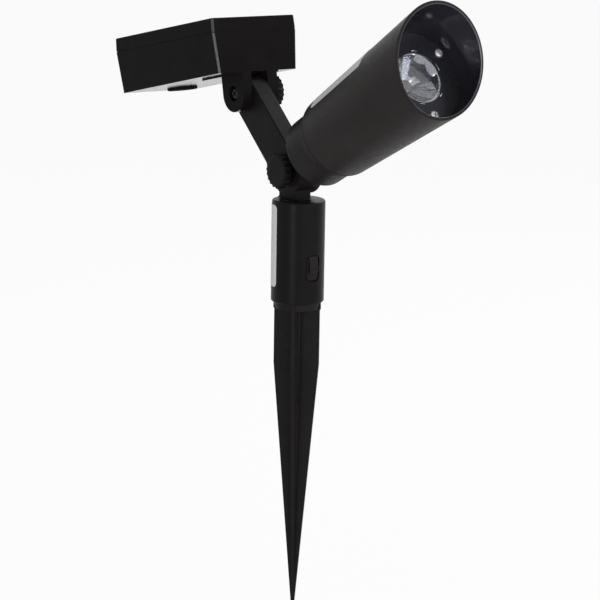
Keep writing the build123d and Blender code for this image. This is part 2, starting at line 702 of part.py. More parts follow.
def lid_outline(inset, height):
    shrink = 2 * (inset + lid_draft * (height - seam_top))
    size = (panel_length - shrink, panel_width - shrink)
    return Pos(panel_middle, 0, height) * RectangleRounded(*size, max(panel_corner - inset, 0.5))


lid = loft([lid_outline(0, seam_top), lid_outline(0, lid_end)])
lid = fillet(lid.edges().group_by(lambda e: round(e.center().Z, 3))[-1], lid_round)
lid -= loft([lid_outline(housing_wall, seam_top + lid_shelf), lid_outline(housing_wall, lid_end - lid_top)])
lip_outer = housing_wall + slip
lid += extrude(box_outline(lip_outer, seam_top - lid_lip), lid_lip + lid_shelf)
lid -= extrude(box_outline(lip_outer + lid_lip_thickness, seam_top - lid_lip), lid_lip + lid_shelf)
cell_length = panel_length - 2 * cell_margin
cell_width = panel_width - 2 * cell_margin
cell_pocket = Pos(panel_middle, 0, lid_end - cell_drop - cell_thickness)
lid -= cell_pocket * extrude(RectangleRounded(cell_length, cell_width, cell_corner), lid_top)
light_well = RectangleRounded(cell_length - 2 * cell_rebate, cell_width - 2 * cell_rebate, cell_corner)
lid -= Pos(panel_middle, 0, lid_end - 2 * lid_top) * extrude(light_well, 3 * lid_top)
save("panel_lid", on_panel(lid))
cell = RectangleRounded(cell_length - 2 * slip, cell_width - 2 * slip, cell_corner - slip)
save("solar_cell", on_panel(cell_pocket * extrude(cell, cell_thickness)))

# --- upper hinge screw and knob
panel_head_seat = -ear_outer + ear_counterbore_depth
knob_seat = ear_outer - hub_seat
panel_screw_length = knob_seat + knob_reach - panel_head_seat
panel_screw = across(screw(screw_head_diameter, screw_head_height, screw_diameter, panel_screw_length),
                     panel_head_seat, -1)
save("panel_screw", on_panel(panel_screw))
save("panel_knob", on_panel(across(knob(), knob_seat)))
save("panel_knob_nut", on_panel(across(nut(), knob_seat)))
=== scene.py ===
import json
import math

import bmesh
import bpy
from mathutils import Matrix, Vector


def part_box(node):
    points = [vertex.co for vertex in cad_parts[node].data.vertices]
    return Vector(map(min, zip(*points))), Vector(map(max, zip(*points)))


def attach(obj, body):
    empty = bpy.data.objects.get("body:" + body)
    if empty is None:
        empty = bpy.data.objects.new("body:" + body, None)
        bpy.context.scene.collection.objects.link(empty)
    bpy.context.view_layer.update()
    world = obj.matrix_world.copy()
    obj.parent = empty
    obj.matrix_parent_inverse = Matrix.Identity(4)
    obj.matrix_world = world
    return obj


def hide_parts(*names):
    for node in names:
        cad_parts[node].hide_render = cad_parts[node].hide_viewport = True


# Garden spike spotlight. Metres, +Z up, origin on the stem at the soil line.
# +X is the way the lamp points, +Y runs along the hinge screws.

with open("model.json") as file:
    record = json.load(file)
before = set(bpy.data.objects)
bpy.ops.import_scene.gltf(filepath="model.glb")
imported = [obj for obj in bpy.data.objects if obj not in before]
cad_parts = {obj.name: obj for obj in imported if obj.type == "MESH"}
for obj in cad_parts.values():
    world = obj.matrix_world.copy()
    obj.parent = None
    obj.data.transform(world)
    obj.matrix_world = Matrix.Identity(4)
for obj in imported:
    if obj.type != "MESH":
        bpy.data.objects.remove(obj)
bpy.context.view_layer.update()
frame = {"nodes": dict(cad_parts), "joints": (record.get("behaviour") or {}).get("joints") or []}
nodes = frame["nodes"]
joints = {joint["name"]: joint for joint in frame["joints"]}
scene = bpy.context.scene
mm = 0.001
print("frame loaded:", len(nodes), "nodes")

# places that several pieces share
place = {
    "lampHinge": Vector(joints["lamp_tilt"]["pos_m"]),
    "panelHinge": Vector(joints["panel_tilt"]["pos_m"]),
    "lampPitch": math.radians(29.6),
    "panelTilt": math.radians(11.0),
    "ground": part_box("spike")[0][2],
}
# Z along the tube, -X towards its upper side
lampTurn = Matrix.Rotation(math.pi / 2 - place["lampPitch"], 4, "Y")
lampAxes = Matrix.Translation(place["lampHinge"]) @ lampTurn
# X along the panel, Z out of the cell
panelAxes = Matrix.Translation(place["panelHinge"]) @ Matrix.Rotation(-place["panelTilt"], 4, "Y")

# the camera that the photograph was taken with, as fitted to it
cameraFacts = {
    "position": Vector((0.9537, -0.6797, 0.2581)),
    "yaw": 54.447,
    "pitch": 12.233,
    "roll": -0.919,
    "focalPixels": 2148.24,
    "framePixels": 600,
    "sensor": 36.0,
    "near": 0.01,
    "far": 60.0,
}


def makeCamera(facts):
    yaw, pitch, roll = (math.radians(facts[key]) for key in ("yaw", "pitch", "roll"))
    ahead = Vector((-math.cos(pitch) * math.sin(yaw), math.cos(pitch) * math.cos(yaw), -math.sin(pitch)))
    right = ahead.cross(Vector((0, 0, 1))).normalized()
    up = right.cross(ahead)
    turnedRight = right * math.cos(roll) - up * math.sin(roll)
    turnedUp = up * math.cos(roll) + right * math.sin(roll)
    data = bpy.data.cameras.new("camera")
    data.sensor_width = facts["sensor"]
    data.sensor_fit = "HORIZONTAL"
    data.lens = facts["focalPixels"] * facts["sensor"] / facts["framePixels"]
    data.clip_start = facts["near"]
    data.clip_end = facts["far"]
    camera = bpy.data.objects.new("camera", data)
    matrix = Matrix((turnedRight, turnedUp, -ahead)).transposed().to_4x4()
    matrix.translation = facts["position"]
    camera.matrix_world = matrix
    scene.collection.objects.link(camera)
    scene.camera = camera


makeCamera(cameraFacts)
print("camera placed")


def fromHex(text):
    # sRGB hex to linear
    values = [int(text[i:i + 2], 16) / 255 for i in (1, 3, 5)]
    linear = [v / 12.92 if v <= 0.04045 else ((v + 0.055) / 1.055) ** 2.4 for v in values]
    return (*linear, 1)


def addNode(tree, kind, settings=None, links=None):
    # settings go to properties or unlinked sockets, links feed sockets from (node, output);
    # in a colour mix, 0 is the share, 6 the colour at 0 and 7 the colour at 1
    node = tree.nodes.new(kind)
    for key, value in (settings or {}).items():
        if isinstance(key, str) and hasattr(node, key):
            setattr(node, key, value)
        else:
            node.inputs[key].default_value = value
    for key, (source, output) in (links or {}).items():
        tree.links.new(source.outputs[output], node.inputs[key])
    return node


def startMaterial(name):
    # the material, its tree, and the place on the object that its patterns follow
    material = bpy.data.materials.new(name)
    material.use_nodes = True
    tree = material.node_tree
    tree.nodes.clear()
    return material, tree, (addNode(tree, "ShaderNodeTexCoord"), "Object")


def perMetre(millimetres):
    # a pattern's scale, from the size of one patch of it
    return 1000 / millimetres


def twoTones(facts):
    # colour sockets of a mix that goes from the dark to the pale tone
    return {6: fromHex(facts["dark"]), 7: fromHex(facts["pale"])}


# noise seldom leaves this band, which is spread to the full range
noiseBand = {"From Min": 0.3, "From Max": 0.7}


def mouldedPlastic(name, facts):
    # Moulded plastic, near-black on most pieces: a soft satin sheen, a fine spark-eroded
    # grain, slow cloudiness from the flow of the melt and faint handling scuffs.
    material, tree, where = startMaterial(name)
    cloud = addNode(tree, "ShaderNodeTexNoise", {"Scale": perMetre(facts["cloud"]), "Detail": 3.0},
                    {"Vector": where})
    spread = addNode(tree, "ShaderNodeMapRange", noiseBand, {"Value": (cloud, "Fac")})
    colour = addNode(tree, "ShaderNodeMix", {"data_type": "RGBA", **twoTones(facts)},
                     {0: (spread, "Result")})
    scuff = addNode(tree, "ShaderNodeTexNoise", {"Scale": perMetre(facts["scuff"]), "Detail": 5.0},
                    {"Vector": where})
    rough = addNode(tree, "ShaderNodeMapRange",
                    {**noiseBand, "To Min": facts["roughness"] - 0.04, "To Max": facts["roughness"] + 0.06},
                    {"Value": (scuff, "Fac")})
    grain = addNode(tree, "ShaderNodeTexNoise", {"Scale": perMetre(facts["grain"]), "Detail": 2.0},
                    {"Vector": where})
    bump = addNode(tree, "ShaderNodeBump", {"Strength": facts["grainDepth"], "Distance": 0.05 * mm},
                   {"Height": (grain, "Fac")})
    shader = addNode(tree, "ShaderNodeBsdfPrincipled", {"IOR": 1.5, "Specular IOR Level": facts["gloss"]},
                     {"Base Color": (colour, 2), "Roughness": (rough, "Result"), "Normal": (bump, "Normal")})
    addNode(tree, "ShaderNodeOutputMaterial", {}, {"Surface": (shader, 0)})
    return material


# cloud, scuff and grain are in millimetres; the real grain is finer and wouldn't show
satinAbs = {"dark": "#171515", "pale": "#1c191a", "cloud": 14, "scuff": 3, "grain": 0.35, "grainDepth": 0.3,
            "roughness": 0.42, "gloss": 0.06}


def moulding(name, **changes):
    return mouldedPlastic(name, {**satinAbs, **changes})


# flat sides, even and nearly dull
panelAbs = moulding("ABS black satin moulded", dark="#181616", pale="#1c1a1b", gloss=0.02)
# upright corners: a lighter, glossier copy of the side finish, a painted highlight in a thin bright line
cornerHighlightAbs = moulding("ABS black corner painted highlight", dark="#1b1818", pale="#201d1e", grainDepth=0.05,
                     roughness=0.24, gloss=0.7)
# smooth underside that mirrors the floor
floorAbs = moulding("ABS black smooth moulded underside", grainDepth=0.03, roughness=0.15, gloss=0.5)
# bracket and knobs, slightly waxy
bracketNylon = moulding("Nylon black moulded", roughness=0.45, gloss=0.05)
# stem, deep black with one soft streak of light
stemAbs = moulding("ABS black satin moulded tube", dark="#100e0e", pale="#141212", roughness=0.32,
                   gloss=0.08)
# spike, a greyer black with a dull shine on its edges
spikePolypropylene = moulding("Polypropylene black moulded", dark="#1a1818", pale="#1f1d1d", roughness=0.5,
                              gloss=0.09)
# soft button that hardly shines
buttonElastomer = moulding("TPE black matt moulded", roughness=0.8, gloss=0.02)
# face plate, blue-black and shiny
facePlateAbs = moulding("ABS black gloss moulded", dark="#1c1c21", pale="#222228", grainDepth=0.04,
                        roughness=0.28, gloss=0.24)
# seal, dull with a coarser grain
gasketRubber = moulding("Nitrile rubber black cut", grain=0.6, roughness=0.75, gloss=0.1)
# switch inside the panel, plain dull black
switchNylon = moulding("Nylon black moulded switch", roughness=0.5)
# outside of the lamp's tube, a brownish black that greys towards the light
lampAbs = moulding("ABS black satin moulded lamp", dark="#1f1c1b", pale="#252121", gloss=0.1)
# the core side of the tube's mould was polished, so the mouth mirrors softly; its black is bluer and lighter
# than the outside's
coreAbs = moulding("ABS black polished core", dark="#232329", pale="#2a2a31", grainDepth=0.03,
                   roughness=0.13, gloss=0.8)
# the shoulder beside the cap keeps the mould's coarse spark erosion and stays dull
shoulderAbs = moulding("ABS black eroded shoulder", dark="#1f1c1b", pale="#252121", roughness=0.6,
                       gloss=0.06)
# rear cap and the latch's pad, as the tube but darker
capAbs = moulding("ABS black satin moulded cap", dark="#1c1919", pale="#211e1f", gloss=0.08)
# shrunk film on the battery: strong blue with a plain shine
batterySleeve = moulding("PVC blue shrink sleeve", dark="#123a6e", pale="#174585", roughness=0.3, gloss=0.4)
# diffusing cap of the light source, unlit: an even grey
diffusingSilicone = moulding("Silicone grey moulded", dark="#6d696b", pale="#7b7779", roughness=0.5,
                             gloss=0.3)


def drawnMetal(name, facts):
    # Metal with the fine turning or drawing lines of its making and a few duller spots.
    material, tree, where = startMaterial(name)
    spots = addNode(tree, "ShaderNodeTexNoise", {"Scale": perMetre(facts["spots"]), "Detail": 4.0},
                    {"Vector": where})
    colour = addNode(tree, "ShaderNodeMix", {"data_type": "RGBA", **twoTones(facts)}, {0: (spots, "Fac")})
    rough = addNode(tree, "ShaderNodeMapRange",
                    {"To Min": facts["roughness"] - 0.06, "To Max": facts["roughness"] + 0.1},
                    {"Value": (spots, "Fac")})
    lines = addNode(tree, "ShaderNodeTexNoise", {"Scale": perMetre(facts["lines"]), "Detail": 1.0},
                    {"Vector": where})
    bump = addNode(tree, "ShaderNodeBump", {"Strength": facts["lineDepth"], "Distance": 0.02 * mm},
                   {"Height": (lines, "Fac")})
    shader = addNode(tree, "ShaderNodeBsdfPrincipled", {"Metallic": 1.0},
                     {"Base Color": (colour, 2), "Roughness": (rough, "Result"), "Normal": (bump, "Normal")})
    addNode(tree, "ShaderNodeOutputMaterial", {}, {"Surface": (shader, 0)})
    return material


# spots and lines are in millimetres; real tool lines are finer and wouldn't show
# small screws, bright zinc with crystals and rather rough
zincSteel = drawnMetal("Steel zinc plated", {
    "dark": "#a8a8ae", "pale": "#dcdce0", "spots": 0.8, "roughness": 0.5, "lines": 0.12, "lineDepth": 0.4})
# oiled black hinge screws with a dark metal shine
blackSteel = drawnMetal("Steel black oxide", {
    "dark": "#1c1b1c", "pale": "#3a393b", "spots": 0.8, "roughness": 0.35, "lines": 0.2, "lineDepth": 0.3})
# turned nuts, yellow with fine tool lines
turnedBrass = drawnMetal("Brass turned", {
    "dark": "#a8822f", "pale": "#d2ad55", "spots": 1.5, "roughness": 0.28, "lines": 0.15, "lineDepth": 0.3})
# heat sink with the streaks of the extrusion die
sinkAluminium = drawnMetal("Aluminium extruded", {
    "dark": "#a7a9ac", "pale": "#c9cbce", "spots": 2.0, "roughness": 0.38, "lines": 0.3, "lineDepth": 0.5})
# bowl and tabs: a true mirror, with the faint waviness of the plastic under the film
mirrorFilm = drawnMetal("ABS vacuum metallised", {
    "dark": "#95969c", "pale": "#b1b2b8", "spots": 4.0, "roughness": 0.06, "lines": 2.5, "lineDepth": 0.5})


def clearPlastic(name, facts):
    # Polished acrylic: clear, a hard glint at the rim, a trace of haze from moulding.
    material, tree, where = startMaterial(name)
    haze = addNode(tree, "ShaderNodeTexNoise", {"Scale": perMetre(facts["haze"]), "Detail": 3.0},
                   {"Vector": where})
    rough = addNode(tree, "ShaderNodeMapRange", {"To Min": 0.0, "To Max": facts["roughness"]},
                    {"Value": (haze, "Fac")})
    shader = addNode(tree, "ShaderNodeBsdfPrincipled",
                     {"IOR": 1.49, "Transmission Weight": 1.0, "Base Color": fromHex(facts["colour"])},
                     {"Roughness": (rough, "Result")})
    addNode(tree, "ShaderNodeOutputMaterial", {}, {"Surface": (shader, 0)})
    return material


# lens over the bowl; haze is in millimetres
clearAcrylic = clearPlastic("Acrylic clear polished", {"haze": 6.0, "roughness": 0.03, "colour": "#fbfcfd"})


def paperLabel(name, facts):
    # Uncoated white sticker: short paper fibres, a slight unevenness of tone, no print.
    material, tree, where = startMaterial(name)
    tone = addNode(tree, "ShaderNodeTexNoise", {"Scale": perMetre(facts["tone"]), "Detail": 3.0},
                   {"Vector": where})
    colour = addNode(tree, "ShaderNodeMix", {"data_type": "RGBA", **twoTones(facts)}, {0: (tone, "Fac")})
    fibre = addNode(tree, "ShaderNodeTexVoronoi",
                    {"feature": "DISTANCE_TO_EDGE", "Scale": perMetre(facts["fibre"])}, {"Vector": where})
    bump = addNode(tree, "ShaderNodeBump", {"Strength": 0.15, "Distance": 0.02 * mm}, {"Height": (fibre, 0)})
    shader = addNode(tree, "ShaderNodeBsdfPrincipled",
                     {"IOR": 1.45, "Specular IOR Level": 0.2, "Roughness": 0.55},
                     {"Base Color": (colour, 2), "Normal": (bump, "Normal")})
    addNode(tree, "ShaderNodeOutputMaterial", {}, {"Surface": (shader, 0)})
    return material


# both stickers, a cool white; tone and fibre are in millimetres
whitePaper = paperLabel("Paper white uncoated", {
    "dark": "#efeced", "pale": "#f5f3f4", "tone": 9, "fibre": 0.7})

solarFacts = {
    "cellPitch": 8.1 * mm,
    "gap": 0.5 * mm,
    "gapColour": "#15171c",
    "busbarPitch": 16.0 * mm,
    "busbar": 0.5 * mm,
    "busbarColour": "#8d9094",
    "crystal": 4.0,            # millimetres across
    "dark": "#0b1226",
    "pale": "#16244a",
}


def stripes(tree, value, pitch, width):
    # 1 on bands of this width, repeated at this pitch
    folded = addNode(tree, "ShaderNodeMath", {"operation": "PINGPONG", 1: pitch / 2}, {0: value})
    return addNode(tree, "ShaderNodeMath", {"operation": "LESS_THAN", 1: width / 2}, {0: (folded, 0)})


def solarCell(name, facts):
    # Polycrystalline strips under clear resin: deep blue with angular crystals, thin dark gaps
    # between strips, bright busbars across them, and a smooth wet-looking surface.
    material, tree, where = startMaterial(name)
    alongAxis = panelAxes.to_3x3() @ Vector((1, 0, 0))
    along = addNode(tree, "ShaderNodeVectorMath", {"operation": "DOT_PRODUCT", 1: alongAxis}, {0: where})
    across = addNode(tree, "ShaderNodeSeparateXYZ", {}, {0: where})
    crystals = addNode(tree, "ShaderNodeTexVoronoi", {"Scale": perMetre(facts["crystal"])},
                       {"Vector": where})
    blue = addNode(tree, "ShaderNodeMix", {"data_type": "RGBA", **twoTones(facts)},
                   {0: (crystals, "Distance")})
    gaps = stripes(tree, (along, "Value"), facts["cellPitch"], facts["gap"])
    gapped = addNode(tree, "ShaderNodeMix", {"data_type": "RGBA", 7: fromHex(facts["gapColour"])},
                     {0: (gaps, 0), 6: (blue, 2)})
    bars = stripes(tree, (across, "Y"), facts["busbarPitch"], facts["busbar"])
    colour = addNode(tree, "ShaderNodeMix", {"data_type": "RGBA", 7: fromHex(facts["busbarColour"])},
                     {0: (bars, 0), 6: (gapped, 2)})
    shader = addNode(tree, "ShaderNodeBsdfPrincipled",
                     {"IOR": 1.5, "Roughness": 0.3, "Specular IOR Level": 0.3, "Coat Weight": 1.0,
                      "Coat Roughness": 0.04},
                     {"Base Color": (colour, 2)})
    addNode(tree, "ShaderNodeOutputMaterial", {}, {"Surface": (shader, 0)})
    return material


resinCell = solarCell("Silicon polycrystalline under resin", solarFacts)


def maskedBoard(name, facts):
    # Fibreglass board under solder mask: glossy green with a trace pattern in low relief.
    material, tree, where = startMaterial(name)
    tracks = addNode(tree, "ShaderNodeTexVoronoi",
                     {"feature": "F1", "distance": "MANHATTAN", "Scale": perMetre(facts["track"])},
                     {"Vector": where})
    edge = addNode(tree, "ShaderNodeMapRange", {"From Min": 0.3, "From Max": 0.4},
                   {"Value": (tracks, "Distance")})
    colour = addNode(tree, "ShaderNodeMix", {"data_type": "RGBA", **twoTones(facts)},
                     {0: (edge, "Result")})
    bump = addNode(tree, "ShaderNodeBump", {"Strength": 0.3, "Distance": 0.03 * mm},
                   {"Height": (edge, "Result")})
    shader = addNode(tree, "ShaderNodeBsdfPrincipled", {"IOR": 1.5, "Roughness": 0.3},
                     {"Base Color": (colour, 2), "Normal": (bump, "Normal")})
    addNode(tree, "ShaderNodeOutputMaterial", {}, {"Surface": (shader, 0)})
    return material


# both circuit boards; track is in millimetres, wider than the real ones so that they show
greenBoard = maskedBoard("FR4 green solder mask", {"dark": "#0f4a26", "pale": "#1b6a38", "track": 3.0})

# every CAD node's own finish, also of the nodes that a piece replaces below
nodeFinish = {
    "spike": spikePolypropylene,
    "stem": stemAbs,
    "stem_label": whitePaper,
    "bracket": bracketNylon,
    "swivel_washer": zincSteel,
    "swivel_screw": zincSteel,
    "lamp_back": capAbs,
    "lamp_tube": lampAbs,
    "lamp_label": whitePaper,
    "back_screws": zincSteel,
    "face_plate": facePlateAbs,
    "face_screws": zincSteel,
    "reflector": mirrorFilm,
    "lens": clearAcrylic,
    "led_board": greenBoard,
    "led": diffusingSilicone,
    "heatsink": sinkAluminium,
    "heatsink_screws": zincSteel,
    "lamp_screw": blackSteel,
    "lamp_knob": bracketNylon,
    "lamp_knob_nut": turnedBrass,
    "panel_housing": panelAbs,
    "panel_lid": panelAbs,
    "panel_gasket": gasketRubber,
    "solar_cell": resinCell,
    "battery": batterySleeve,
    "panel_board": greenBoard,
    "panel_board_screws": zincSteel,
    "button_switch": switchNylon,
    "panel_screw": blackSteel,
    "panel_knob": bracketNylon,
    "panel_knob_nut": turnedBrass,
    "mode_button": buttonElastomer,
}
for name, node in nodes.items():
    node.data.materials.clear()
    node.data.materials.append(nodeFinish[name])
print("materials made")


def ringMesh(name, rings, loop=False, sharpAngle=35, smooth=True):
    # skin through rings of the same number of points: capped at both ends,
    # or with loop closed from the last ring to the first
    bm = bmesh.new()
    rows = [[bm.verts.new(point) for point in ring] for ring in rings]
    count = len(rings[0])
    for low, high in zip(rows, rows[1:] + rows[:loop]):
        for index in range(count):
            after = (index + 1) % count
            bm.faces.new((low[index], low[after], high[after], high[index]))
    if not loop:
        bm.faces.new(tuple(reversed(rows[0])))
        bm.faces.new(rows[-1])
    bmesh.ops.recalc_face_normals(bm, faces=bm.faces)
    for face in bm.faces:
        face.smooth = smooth
    mesh = bpy.data.meshes.new(name)
    bm.to_mesh(mesh)
    bm.free()
    if smooth:
        mesh.set_sharp_from_angle(angle=math.radians(sharpAngle))
    return mesh


def circle(radius, height, points=64):
    return [(radius * math.cos(math.tau * i / points), radius * math.sin(math.tau * i / points), height)
            for i in range(points)]


def joined(name, meshes):
    # meshes with their places, as one mesh
    bm = bmesh.new()
    for mesh, matrix in meshes:
        start = len(bm.verts)
        bm.from_mesh(mesh)
        bm.verts.ensure_lookup_table()
        bmesh.ops.transform(bm, matrix=matrix, verts=bm.verts[start:])
    result = bpy.data.meshes.new(name)
    bm.to_mesh(result)
    bm.free()
    return result


def cutOut(mesh, cutter):
    body = bpy.data.objects.new("body", mesh)
    tool = bpy.data.objects.new("tool", cutter)
    for thing in (body, tool):
        scene.collection.objects.link(thing)
    modifier = body.modifiers.new("cut", "BOOLEAN")
    modifier.object = tool
    modifier.solver = "EXACT"
    result = bpy.data.meshes.new_from_object(body.evaluated_get(bpy.context.evaluated_depsgraph_get()))
    for thing in (body, tool):
        bpy.data.objects.remove(thing)
    result.set_sharp_from_angle(angle=math.radians(30))
    return result


def placePiece(name, mesh, body, slot, *stoodFor):
    # stoodFor names the CAD nodes that the piece takes the place of
    piece = bpy.data.objects.new(name, mesh)
    scene.collection.objects.link(piece)
    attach(piece, body)
    if stoodFor:
        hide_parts(*stoodFor)


def addPiece(name, mesh, material, body, slot, *stoodFor):
    mesh.materials.clear()
    mesh.materials.append(material)
    placePiece(name, mesh, body, slot, *stoodFor)


# the lamp's tube: satin outside, polished inside, dull on the shoulder
tubeFacts = {
    "outerStart": 41.3 * mm,   # joint with the rear cap, from the hinge screw
    "shoulderEnd": 49.5 * mm,
    "outerRadius": 22.7 * mm,
    "taper": 0.052,
    "insideFrom": 1.26 * mm,   # below the outer skin, faces belong to the inside
}
# the panel's shells, by their normals: underside, and corners away from the hinge ears, which carry the
# painted highlight
shellFacts = {"underside": -0.9, "corner": 0.42, "upright": 0.3, "besideEars": 20 * mm}
latchFacts = {"padFrom": 12 * mm}


def refinish(name, node, body, materials, choose):
    # the same shell, where choose gives each face's finish from its middle and normal;
    # 0 keeps the node's own
    mesh = nodes[node].data.copy()
    for material in materials:
        mesh.materials.append(material)
    for face in mesh.polygons:
        face.material_index = choose(face.center, face.normal)
    placePiece(name, mesh, body, "black_plastic", node)


def outsideOfTube(along):
    return tubeFacts["outerRadius"] + tubeFacts["taper"] * (along - tubeFacts["outerStart"])


def tubeFinish(spot, normal):
    # 1 inside the tube, 2 on the shoulder beside the rear cap
    x, y, along = lampAxes.inverted() @ spot
    if along < tubeFacts["shoulderEnd"]:
        return 2
    return int(math.hypot(x, y) < outsideOfTube(along) - tubeFacts["insideFrom"])


def panelFinish(spot, normal):
    # 1 on the four upright corners, with the painted highlight; 2 on the underside
    x, y, z = panelAxes.to_3x3().inverted() @ normal
    if z < shellFacts["underside"]:
        return 2
    isCorner = min(abs(x), abs(y)) > shellFacts["corner"] and abs(z) < shellFacts["upright"]
    return int(isCorner and abs((panelAxes.inverted() @ spot).y) > shellFacts["besideEars"])


def latchFinish(spot, normal):
    # 1 on the latch's pad, which shows in the stem's window
    return int(spot.z > latchFacts["padFrom"])


refinish("tubeShell", "lamp_tube", "lamp", [coreAbs, shoulderAbs], tubeFinish)
refinish("housingShell", "panel_housing", "panel", [cornerHighlightAbs, floorAbs], panelFinish)
refinish("lidShell", "panel_lid", "panel", [cornerHighlightAbs, floorAbs], panelFinish)
refinish("spikeShell", "spike", "base", [capAbs], latchFinish)
print("shells finished")

# clamp knobs: knurled disc with pointed teeth, pressed edge, hub and the pocket of its nut
knobFacts = {
    "teeth": 20,
    "tip": 9.9 * mm,
    "root": 9.1 * mm,
    "hub": 6.0 * mm,
    "hubHeight": 2.0 * mm,
    "height": 6.7 * mm,
    "edge": 0.55 * mm,
    "valley": 0.9,             # under 1 the tips are sharper and the valleys wider
    "nutFlats": 7.0 * mm,
    "nutHeight": 3.2 * mm,
    "bore": 2.1 * mm,
    "boreDepth": 4.7 * mm,
}


def knobMesh(facts):
    points = facts["teeth"] * 8

    def ring(height, radiusAt):
        angles = [math.tau * i / points for i in range(points)]
        return [(radiusAt(a) * math.cos(a), radiusAt(a) * math.sin(a), height) for a in angles]

    def toothed(inset, depth=1.0):
        def radiusAt(angle):
            # a pointed tip at each whole tooth, a round valley between
            share = 1 - abs(math.sin(facts["teeth"] * angle / 2)) ** facts["valley"]
            return facts["root"] - inset + (facts["tip"] - facts["root"]) * share * depth
        return radiusAt

    def hexagon(angle):
        return facts["nutFlats"] / 2 / math.cos(angle % (math.pi / 3) - math.pi / 6)

    # from the bore's end through the nut's pocket, out over the hub and the toothed rim, to the flat top
    low, top, edge = facts["hubHeight"], facts["height"], facts["edge"]
    rings = [
        ring(facts["boreDepth"], lambda a: facts["bore"]),
        ring(facts["nutHeight"], lambda a: facts["bore"]),
        ring(facts["nutHeight"], hexagon),
        ring(0, hexagon),
        ring(0, lambda a: facts["hub"]),
        ring(low, lambda a: facts["hub"]),
        ring(low, toothed(edge, 0.6)),
        ring(low + edge, toothed(0)),
        ring(top - edge, toothed(0)),
        ring(top - 0.35 * edge, toothed(0.3 * edge, 0.9)),
        ring(top, toothed(edge, 0.7)),
        ring(top, toothed(4 * edge, 0.2)),
    ]
    return ringMesh("knob", rings, sharpAngle=28)


towardMinusY = Matrix.Rotation(math.pi / 2, 4, "X")
towardPlusY = Matrix.Rotation(-math.pi / 2, 4, "X")
knob = knobMesh(knobFacts)
lampKnobMiddle = (place["lampHinge"].x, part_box("lamp_knob")[1][1], place["lampHinge"].z)
lampKnobPlace = Matrix.Translation(lampKnobMiddle) @ towardMinusY
addPiece("lampKnobDisc", joined("lampKnobDisc", [(knob, lampKnobPlace)]), bracketNylon, "lamp_knob",
         "black_plastic", "lamp_knob")
panelKnobPlace = panelAxes @ Matrix.Translation((0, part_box("panel_knob")[0][1], 0)) @ towardPlusY
addPiece("panelKnobDisc", joined("panelKnobDisc", [(knob, panelKnobPlace)]), bracketNylon, "panel_knob",
         "black_plastic", "panel_knob")
print("knobs made")


# what all pan heads share: the tip and the head's edge in shares of their radius, and the dome's
# arc in degrees, with its middle and reach in shares of the head's radius and height
panFacts = {"tip": 0.6, "tipLength": 0.4, "underside": 0.96, "edge": 0.06, "domeFrom": 15, "domeSweep": 65,
            "domeSteps": 6, "middle": (0.45, 0.22), "reach": (0.57, 0.79)}


def panScrew(facts):
    # head above z = 0 with a cross recess, shank below
    head, height, shank = facts["head"] / 2, facts["headHeight"], facts["shank"] / 2
    rings = [circle(panFacts["tip"] * shank, -facts["length"]),
             circle(shank, -facts["length"] + panFacts["tipLength"] * shank), circle(shank, 0),
             circle(head * panFacts["underside"], 0), circle(head, panFacts["edge"] * head)]
    for step in range(panFacts["domeSteps"] + 1):
        angle = math.radians(panFacts["domeFrom"] + panFacts["domeSweep"] * step / panFacts["domeSteps"])
        rings.append(circle(head * (panFacts["middle"][0] + panFacts["reach"][0] * math.cos(angle)),
                            height * (panFacts["middle"][1] + panFacts["reach"][1] * math.sin(angle))))
    arm, half, deep = facts["recess"] / 2, facts["recessWidth"] / 2, facts["recessDepth"]
    outline = [(arm, -half), (arm, half), (half, half), (half, arm), (-half, arm), (-half, half),
               (-arm, half), (-arm, -half), (-half, -half), (-half, -arm), (half, -arm), (half, -half)]
    # the recess narrows to its floor, and its cutter starts above the head
    levels = ((0.55, height - deep), (1.1, height + 0.5 * mm))
    cross = [[(share * x, share * y, level) for x, y in outline] for share, level in levels]
    return cutOut(ringMesh("screw", rings), ringMesh("cross", cross, smooth=False))


# bright screws of the face plate
faceScrewFacts = {
    "head": 5.0 * mm,
    "headHeight": 1.5 * mm,
    "shank": 2.6 * mm,
    "length": 8.0 * mm,
    "recess": 2.9 * mm,
    "recessWidth": 0.7 * mm,
    "recessDepth": 1.1 * mm,
    "circle": 21.228 * mm,
    "seat": 124.6 * mm,
    "angles": (54, 174, 294),  # places round the plate, from its top
    "turns": (20, 65, 40),     # where each screw stopped
}


def aroundLamp(angle, radius, height):
    # a place beside the lamp's axis, its angle from the top towards +Y
    a = math.radians(angle)
    return lampAxes @ Matrix.Translation((-radius * math.cos(a), radius * math.sin(a), height))


faceScrew = panScrew(faceScrewFacts)
faceScrewPlaces = [aroundLamp(angle, faceScrewFacts["circle"], faceScrewFacts["seat"])
                   @ Matrix.Rotation(math.radians(turn), 4, "Z")
                   for angle, turn in zip(faceScrewFacts["angles"], faceScrewFacts["turns"])]
addPiece("faceCrossScrews", joined("faceCrossScrews", [(faceScrew, spot) for spot in faceScrewPlaces]),
         zincSteel, "lamp", "screw_steel", "face_screws")

# black hinge screws, clamped by the knobs
hingeScrewFacts = {"head": 7.2 * mm, "headHeight": 2.2 * mm, "shank": 4.0 * mm, "recess": 4.2 * mm,
                   "recessWidth": 0.95 * mm, "recessDepth": 1.5 * mm, "turn": 32}


def hingeScrew(name, node, body, axes, facing):
    # head on the +Y side where facing is 1, on the -Y side where it is -1
    low, high = (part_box(node)[side][1] for side in (0, 1))
    seat = high - hingeScrewFacts["headHeight"] if facing > 0 else low + hingeScrewFacts["headHeight"]
    mesh = panScrew({**hingeScrewFacts, "length": high - low - hingeScrewFacts["headHeight"]})
    spot = axes @ Matrix.Translation((0, seat, 0)) @ (towardPlusY if facing > 0 else towardMinusY)
    spot = spot @ Matrix.Rotation(math.radians(hingeScrewFacts["turn"]), 4, "Z")
    addPiece(name, joined(name, [(mesh, spot)]), blackSteel, body, "screw_steel", node)


